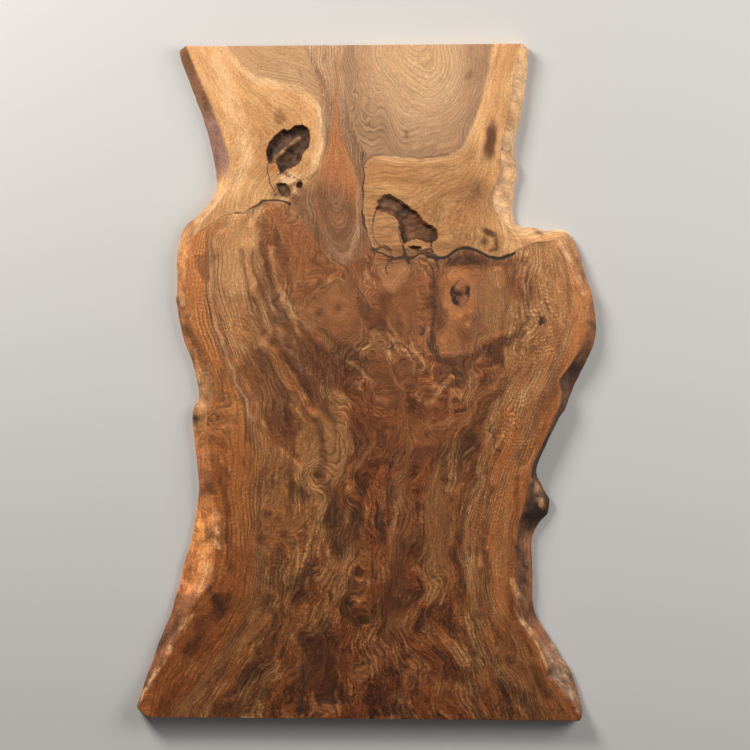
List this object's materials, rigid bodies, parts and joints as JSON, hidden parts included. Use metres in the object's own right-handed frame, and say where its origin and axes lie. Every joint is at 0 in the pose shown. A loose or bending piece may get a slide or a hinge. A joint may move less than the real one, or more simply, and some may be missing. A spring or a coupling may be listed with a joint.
{
  "type": "live-edge wood slab",
  "caption": "Thick walnut slab with two natural live edges, flared foot, stepped shoulder and open bark pockets, for a table top or panel.",
  "frame": {"origin": "on the underside, below the middle of the slab's bounding box", "axes": "+Y along the grain towards the narrow head, +Z out of the finished face, +X towards the stepped shoulder's side"},
  "size_m": [1.2442, 1.834, 0.054],
  "materials": {
    "walnut": "satin oil"
  },
  "bodies": {
    "root": {"walnut_slab": "walnut"}
  },
  "joints": []
}
